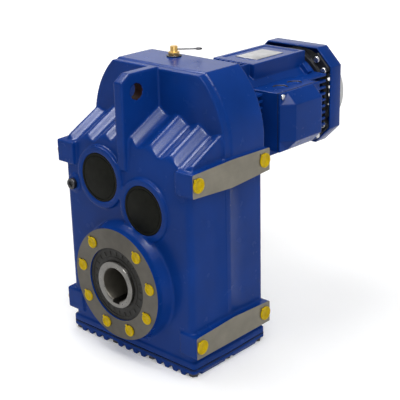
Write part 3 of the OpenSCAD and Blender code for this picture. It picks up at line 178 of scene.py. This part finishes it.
def cloud(material, bsdf, colour, waves, tones):
    """Clouds a shader's colour between two tones of it."""
    node = add(material, "ShaderNodeValToRGB", [("Fac", noise(material, waves))])
    for element, edge, tone in zip(node.color_ramp.elements, CLOUD_EDGES, tones):
        element.position = edge
        element.color = (*(channel * tone for channel in colour), 1.0)
    link(material, node.outputs["Color"], bsdf, "Base Color")


def roughen(material, bsdf, waves, low, high, detail=3.0, vector=None):
    """Varies a shader's roughness between low and high."""
    value = noise(material, waves, detail, vector)
    link(material, spread(material, value, (low, high)), bsdf, "Roughness")


def bump(material, bsdf, waves, depth, detail=3.0, vector=None):
    """Adds relief of that depth in metres to a shader's normal."""
    height = noise(material, waves, detail, vector)
    node = add(material, "ShaderNodeBump", [("Height", height), ("Distance", depth), ("Strength", 1.0)])
    link(material, node.outputs["Normal"], bsdf, "Normal")


# Finishes

def enamel(name, grain):
    """Glossy sprayed enamel over a casting; grain is the depth of its skin's unevenness."""
    material, bsdf = shader(name, ENAMEL, Specular_IOR_Level=0.08)
    cloud(material, bsdf, ENAMEL, waves=14.0, tones=(0.86, 1.12))
    roughen(material, bsdf, waves=60.0, low=0.22, high=0.3)
    bump(material, bsdf, waves=260.0, depth=grain, detail=2.0)
    return material


def turned_metal(name, colour):
    """Bare metal faced on a lathe: its rings about the output shaft's axis fan the reflections out."""
    material, bsdf = shader(name, colour, Metallic=1.0, Anisotropic=0.9)
    flat = add(material, "ShaderNodeVectorMath",
               [(0, object_coordinates(material)), (1, (1.0, 0.0, 1.0))], operation="MULTIPLY")
    away = add(material, "ShaderNodeVectorMath", [(0, flat.outputs["Vector"])], operation="NORMALIZE")
    link(material, away.outputs["Vector"], bsdf, "Tangent")
    cloud(material, bsdf, colour, waves=55.0, tones=(0.9, 1.08))
    roughen(material, bsdf, waves=180.0, low=0.42, high=0.5)
    return material


def milled_metal(name, colour, stretch):
    """Bare metal faced with a cutter: marks drawn out along the axis with the small stretch."""
    material, bsdf = shader(name, colour, Metallic=1.0)
    drawn = add(material, "ShaderNodeVectorMath",
                [(0, object_coordinates(material)), (1, stretch)], operation="MULTIPLY").outputs["Vector"]
    cloud(material, bsdf, colour, waves=40.0, tones=(0.88, 1.08))
    roughen(material, bsdf, waves=500.0, low=0.3, high=0.5, detail=2.0, vector=drawn)
    bump(material, bsdf, waves=500.0, depth=6e-5, detail=2.0, vector=drawn)
    return material


def plain_metal(name, colour, low, high, grain=2e-5, metallic=1.0):
    """Bare metal with a fine grain and a roughness between low and high."""
    material, bsdf = shader(name, colour, Metallic=metallic)
    cloud(material, bsdf, colour, waves=90.0, tones=(0.85, 1.1))
    roughen(material, bsdf, waves=260.0, low=low, high=high)
    bump(material, bsdf, waves=1500.0, depth=grain)
    return material


def moulded(name, colour, low, high, grain=4e-5, specular=0.15, tones=(0.8, 1.15)):
    """Plastic or rubber with a fine moulded skin and a roughness between low and high."""
    material, bsdf = shader(name, colour, Specular_IOR_Level=specular)
    cloud(material, bsdf, colour, waves=120.0, tones=tones)
    roughen(material, bsdf, waves=200.0, low=low, high=high)
    bump(material, bsdf, waves=1100.0, depth=grain)
    return material


FINISH = {
    "cast_enamel": enamel("cast_enamel", 5e-5),
    "motor_enamel": enamel("motor_enamel", 3e-5),
    "sheet_enamel": enamel("sheet_enamel", 1e-5),
    "black_cap": moulded("black_cap", (0.009, 0.0095, 0.0072), 0.42, 0.6, specular=0.05),
    "seal_rubber": moulded("seal_rubber", (0.026, 0.025, 0.023), 0.4, 0.6),
    "gasket": moulded("gasket", (0.003, 0.016, 0.075), 0.5, 0.7),
    "yellow_plastic": moulded("yellow_plastic", (0.52, 0.36, 0.002), 0.3, 0.42, 1e-5, 0.08),
    "breather_brass": plain_metal("breather_brass", (0.72, 0.47, 0.16), 0.22, 0.38),
    "dark_steel": plain_metal("dark_steel", (0.06, 0.06, 0.065), 0.35, 0.5),
    "zinc_steel": plain_metal("zinc_steel", (0.6, 0.6, 0.61), 0.2, 0.35),
    "shaft_steel": plain_metal("shaft_steel", (0.17, 0.165, 0.155), 0.24, 0.34, 4e-6),
    "gear_steel": plain_metal("gear_steel", (0.35, 0.35, 0.36), 0.25, 0.4),
    "bearing_steel": plain_metal("bearing_steel", (0.7, 0.7, 0.72), 0.12, 0.22),
    "core_steel": plain_metal("core_steel", (0.3, 0.3, 0.31), 0.4, 0.55),
    "winding": plain_metal("winding", (0.5, 0.2, 0.06), 0.3, 0.45),
    "fan_plastic": moulded("fan_plastic", (0.02, 0.02, 0.02), 0.45, 0.6),
    "shield_black": moulded("shield_black", (0.015, 0.016, 0.02), 0.35, 0.5),
    "grille_grey": moulded("grille_grey", (0.5, 0.51, 0.52), 0.35, 0.5, 1e-5, tones=(0.95, 1.03)),
    "plate_metal": plain_metal("plate_metal", (0.43, 0.43, 0.435), 0.3, 0.45),
    "moulded_cream": moulded("moulded_cream", (0.7, 0.64, 0.5), 0.45, 0.6),
}
TURNED_FACE = turned_metal("turned_face", FLANGE_METAL)
MILLED_PAD = milled_metal("milled_pad", PAD_METAL, (1.0, 0.06, 1.0))
RUSTED_HOLE = moulded("rusted_hole", RUSTED_BORE, 0.6, 0.8, specular=0.05)
OILED_HOLE = plain_metal("oiled_hole", OILED_BORE, 0.35, 0.5, metallic=0.7)


def paint(obj, material):
    obj.data.materials.clear()
    obj.data.materials.append(material)


for node, obj in nodes.items():
    paint(obj, FINISH[slot_of[node]])


# Pieces that stand for CAD nodes

def place(name, mesh, node):
    """New piece that stands for a CAD node and rides with it."""
    piece = bpy.data.objects.new(name, mesh)
    bpy.context.scene.collection.objects.link(piece)
    if not mesh.materials:
        mesh.materials.append(FINISH[slot_of[node]])
    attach(piece, body_of[node])
    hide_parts(node)
    return piece


def retouch(piece, material, inside):
    """Gives a piece's faces whose centre passes a test a material of their own."""
    piece.data.materials.append(material)
    for face in piece.data.polygons:
        if inside(face.center):
            face.material_index = len(piece.data.materials) - 1


def joined_mesh(node):
    """Editable copy of a CAD node's mesh, with the points of neighbouring faces joined."""
    bm = bmesh.new()
    bm.from_mesh(nodes[node].data)
    bmesh.ops.remove_doubles(bm, verts=bm.verts, dist=MERGE_DISTANCE)
    return bm


def saved(bm, name):
    """New mesh from an editable one, which is let go."""
    mesh = bpy.data.meshes.new(name)
    bm.to_mesh(mesh)
    bm.free()
    return mesh


def modifier(obj, kind, **settings):
    made = obj.modifiers.new(kind.lower(), kind)
    for key, value in settings.items():
        setattr(made, key, value)


def baked(obj):
    """Mesh of an object with its modifiers applied."""
    bpy.context.view_layer.update()
    return bpy.data.meshes.new_from_object(obj.evaluated_get(bpy.context.evaluated_depsgraph_get()))


def cut(bm, point, normal, **settings):
    """Cuts a mesh along a plane and returns what lies on the cut."""
    whole = bm.verts[:] + bm.edges[:] + bm.faces[:]
    return bmesh.ops.bisect_plane(bm, geom=whole, dist=CUT_TOLERANCE, plane_co=point, plane_no=normal,
                                  **settings)["geom_cut"]


def cut_flat(bm, axis, value, side, material_index):
    """Cuts off what lies beyond a plane and closes the cut with machined faces."""
    normal = Vector((0, 0, 0))
    normal[axis] = side
    point = Vector((0, 0, 0))
    point[axis] = value
    rim = [part for part in cut(bm, point, normal, clear_outer=True) if isinstance(part, bmesh.types.BMEdge)]
    for edge in rim:
        edge.smooth = False
    filled = bmesh.ops.triangle_fill(bm, edges=rim, normal=normal, use_beauty=True)
    for part in filled["geom"]:
        if isinstance(part, bmesh.types.BMFace):
            part.material_index = material_index
            part.smooth = False


def raise_band(bm, middle, half, slope, proud, wall, heights):
    """Raises a narrow upright band of both side walls, as the mould's parting leaves it.

    middle, half and slope are its place, half width and the width of its sloping edges along Y.
    wall and heights are the ranges of distance from the middle plane and of height that it takes in.
    """
    for offset in (-half - slope, -half, half, half + slope):
        cut(bm, (0.0, middle + offset, 0.0), (0.0, 1.0, 0.0))
    for vert in bm.verts:
        at = vert.co
        inside = abs(at.y - middle) < half + MERGE_DISTANCE and heights[0] < at.z < heights[1]
        if inside and wall[0] < abs(at.x) < wall[1]:
            at.x += math.copysign(proud, at.x)


def cast(node, voxel, smoothing, keep, machined=(), band=None):
    """Casting made from a CAD node: rounded all over, then cut flat at its machined faces.

    machined holds (axis, value, side, material) planes; side says which way the face looks.
    The metal there is left thicker before rounding, so that the cut leaves a crisp edge.
    band holds raise_band's values.
    """
    stock = 3 * voxel
    bm = joined_mesh(node)
    for axis, value, side, _ in machined:
        for vert in bm.verts:
            if abs(vert.co[axis] - value) < PLANE_TOLERANCE:
                vert.co[axis] += side * stock
    blank = bpy.data.objects.new(node + "_blank", saved(bm, node + "_blank"))
    bpy.context.scene.collection.objects.link(blank)
    modifier(blank, "REMESH", mode="VOXEL", voxel_size=voxel)
    modifier(blank, "SMOOTH", factor=0.5, iterations=smoothing)
    modifier(blank, "DECIMATE", ratio=keep)
    rounded = baked(blank)
    bpy.data.objects.remove(blank)
    rounded.materials.append(FINISH[slot_of[node]])
    bm = bmesh.new()
    bm.from_mesh(rounded)
    for face in bm.faces:
        face.smooth = True
        face.material_index = 0
    if band:
        raise_band(bm, **band)
    for axis, value, side, material in machined:
        rounded.materials.append(material)
        cut_flat(bm, axis, value, side, len(rounded.materials) - 1)
    bm.to_mesh(rounded)
    bm.free()
    return rounded


def eased(node, width):
    """Mesh of a CAD node with its sharp edges rounded off."""
    bm = joined_mesh(node)
    bmesh.ops.dissolve_limit(bm, angle_limit=FLAT_ANGLE, verts=bm.verts, edges=bm.edges)
    edges = [edge for edge in bm.edges if edge.calc_face_angle(0.0) > SHARP_ANGLE]
    bmesh.ops.bevel(bm, geom=edges, offset=width, offset_type="OFFSET", segments=2, profile=0.5,
                    affect="EDGES", clamp_overlap=True)
    bmesh.ops.triangulate(bm, faces=[face for face in bm.faces if len(face.verts) > 4])
    mesh = saved(bm, node + "_eased")
    mesh.shade_smooth()
    mesh.set_sharp_from_angle(angle=SHADED_SHARP_ANGLE)
    return mesh


HOUSING_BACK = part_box("gear_housing")[1].y
PAD_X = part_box("gear_housing")[1].x
PARTING_BAND = {
    "middle": 100.5 * MM, "half": 4.5 * MM, "slope": 0.8 * MM, "proud": 0.45 * MM,
    "wall": (PAD_X - 12 * MM, PAD_X - 5 * MM), "heights": (-90 * MM, 150 * MM)}
HOUSING_FACES = (
    (1, 0.0, -1, TURNED_FACE), (1, HOUSING_BACK, 1, TURNED_FACE),
    (0, PAD_X, 1, MILLED_PAD), (0, -PAD_X, -1, MILLED_PAD))

# Castings: node, voxel in millimetres, rounds of smoothing, share of faces kept
CASTINGS = (
    ("bottom_cover", 1.0, 4, 0.3),
    ("motor_frame", 0.9, 3, 0.22),
    ("motor_flange", 1.2, 4, 0.3),
    ("terminal_box", 0.9, 3, 0.3),
    ("terminal_box_lid", 0.9, 3, 0.3),
    ("rear_end_shield", 0.9, 3, 0.3),
)

# Turned, pressed and moulded pieces: node and the width of the rounding on its edges in millimetres
EASED_PIECES = (
    ("fan_cowl", 1.2), ("fan_grille", 0.5), ("fan_cowl_screws", 0.8), ("tie_bolts", 0.8),
    ("hollow_shaft", 0.5), ("output_seal_front", 0.35), ("output_seal_rear", 0.35),
    ("closing_cap_upper", 0.6), ("closing_cap_lower", 0.6), ("oil_level_plug", 0.7), ("oil_drain_plug", 0.7),
    ("breather_valve", 0.5), ("breather_washer", 0.4), ("flange_plugs", 0.4), ("right_pad_plugs", 0.4),
    ("left_pad_plugs", 0.4), ("terminal_box_screws", 0.7), ("terminal_box_gasket", 0.3),
    ("cable_entry_plugs", 0.5), ("nameplate", 0.15), ("bottom_cover_bolts", 0.6), ("motor_flange_bolts", 0.6),
)

pieces = {"gear_housing": place(
    "housing_casting", cast("gear_housing", 1.4 * MM, 6, 0.22, HOUSING_FACES, PARTING_BAND), "gear_housing")}
for node, voxel, smoothing, keep in CASTINGS:
    pieces[node] = place(node + "_casting", cast(node, voxel * MM, smoothing, keep), node)
for node, width in EASED_PIECES:
    pieces[node] = place(node + "_piece", eased(node, width * MM), node)

# Bare rusted wall of the torque-arm hole, inside its rounded edges
arm_hole = mounts["torque_arm_hole"]
ARM_AXIS = Vector(arm_hole["pos_m"]).yz
ARM_R = (arm_hole["dims"]["r_mm"] + 0.8) * MM
ARM_REACH = (arm_hole["dims"]["length_mm"] / 2 - 0.4) * MM
retouch(pieces["gear_housing"], RUSTED_HOLE,
        lambda at: abs(at.x) < ARM_REACH and (at.yz - ARM_AXIS).length < ARM_R)

# Painted shade: the walls of the recesses round the cable entries' blanks get the dark seal rubber colour,
# which stands in for the shadow inside the recesses
plug_low, plug_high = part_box("cable_entry_plugs")
ENTRY_R = (plug_high.x - plug_low.x) / 2
ENTRY_AXES = [Vector((plug_low.x + ENTRY_R, y)) for y in (plug_low.y + ENTRY_R, plug_high.y - ENTRY_R)]
PAINTED_SHADE_R = ENTRY_R + 1.2 * MM
BOX_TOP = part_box("terminal_box")[1].z
PAINTED_SHADE_Z = (BOX_TOP - 3 * MM, BOX_TOP - 0.5 * MM)
# Dark colour on the recess walls here is painted shade, not a sealing ring
retouch(pieces["terminal_box"], FINISH["seal_rubber"],
        lambda at: PAINTED_SHADE_Z[0] < at.z < PAINTED_SHADE_Z[1]
        and min((at.xy - axis).length for axis in ENTRY_AXES) < PAINTED_SHADE_R)

# Oiled bore of the hollow shaft
BORE_R = (mounts["output_bore"]["dims"]["r_mm"] + 0.4) * MM
retouch(pieces["hollow_shaft"], OILED_HOLE, lambda at: at.xz.length < BORE_R)


# Studio

def ways_seen(owner):
    """Outputs that are 1 for a ray from the camera, and for one that was reflected or let through."""
    path = add(owner, "ShaderNodeLightPath").outputs
    return path["Is Camera Ray"], larger(owner, path["Is Glossy Ray"], path["Is Transmission Ray"])


def add_floor():
    """Pale floor that looks white to the camera and in reflections, and keeps the object's shadow."""
    half = FLOOR_SIZE / 2
    corners = [(x, y, FLOOR_Z) for x, y in ((-half, -half), (half, -half), (half, half), (-half, half))]
    mesh = bpy.data.meshes.new("floor")
    mesh.from_pydata(corners, [], [(0, 1, 2, 3)])
    floor = bpy.data.objects.new("floor", mesh)
    bpy.context.scene.collection.objects.link(floor)
    material, bsdf = shader("floor", FLOOR_COLOUR, Roughness=0.8, Specular_IOR_Level=0.0)
    bsdf.inputs["Emission Color"].default_value = (1.0, 1.0, 1.0, 1.0)
    distance = add(material, "ShaderNodeVectorMath", [(0, object_coordinates(material))], operation="LENGTH")
    glow = spread(material, distance.outputs["Value"], FLOOR_GLOW, FLOOR_GLOW_REACH)
    seen = larger(material, *ways_seen(material))
    link(material, product(material, seen, glow), bsdf, "Emission Strength")
    paint(floor, material)


def add_world():
    """Even light all round, white to the camera and, near the horizon, in reflections."""
    world = bpy.data.worlds.new("studio")
    world.use_nodes = True
    bpy.context.scene.world = world
    background = world.node_tree.nodes["Background"]
    background.inputs["Color"].default_value = (1.0, 1.0, 1.0, 1.0)
    way = add(world, "ShaderNodeSeparateXYZ", [("Vector", object_coordinates(world))])
    glow = spread(world, way.outputs["Z"], (1.0, WORLD_LIGHT), (0.0, HORIZON_GLOW_REACH))
    camera, mirrored = ways_seen(world)
    seen = larger(world, camera, product(world, mirrored, glow))
    link(world, larger(world, seen, WORLD_LIGHT), background, "Strength")


def add_softbox(name, at, width, height, power, reflected_only):
    """Area light; one that is only reflected draws highlights on gloss and adds no other light."""
    light = bpy.data.lights.new(name, "AREA")
    light.shape = "RECTANGLE"
    light.size = width
    light.size_y = height
    light.energy = power
    obj = bpy.data.objects.new(name, light)
    bpy.context.scene.collection.objects.link(obj)
    obj.location = at
    obj.rotation_euler = (Vector(AIM) - Vector(at)).to_track_quat("-Z", "Y").to_euler()
    if reflected_only:
        obj.visible_diffuse = False
        light.cycles.max_bounces = 1


def add_camera():
    flat = Vector((math.sin(CAMERA_AZIMUTH), -math.cos(CAMERA_AZIMUTH), 0.0))
    back = flat * math.cos(CAMERA_ELEVATION) + Vector((0, 0, math.sin(CAMERA_ELEVATION)))
    right = (-back).cross(Vector((0, 0, 1))).normalized()
    up = right.cross(-back)
    level = Matrix((right, up, back)).transposed()
    roll = Matrix.Rotation(CAMERA_ROLL, 3, "Z")
    data = bpy.data.cameras.new("camera")
    data.sensor_width = SENSOR_MM
    data.lens = SENSOR_MM * FOCAL_PX / IMAGE_PX
    camera = bpy.data.objects.new("camera", data)
    bpy.context.scene.collection.objects.link(camera)
    camera.matrix_world = Matrix.Translation(CAMERA_AT) @ (level @ roll).to_4x4()
    bpy.context.scene.camera = camera


add_floor()
add_world()
for lamp in LAMPS:
    add_softbox(*lamp)
add_camera()
bpy.context.scene.view_settings.view_transform = "Standard"
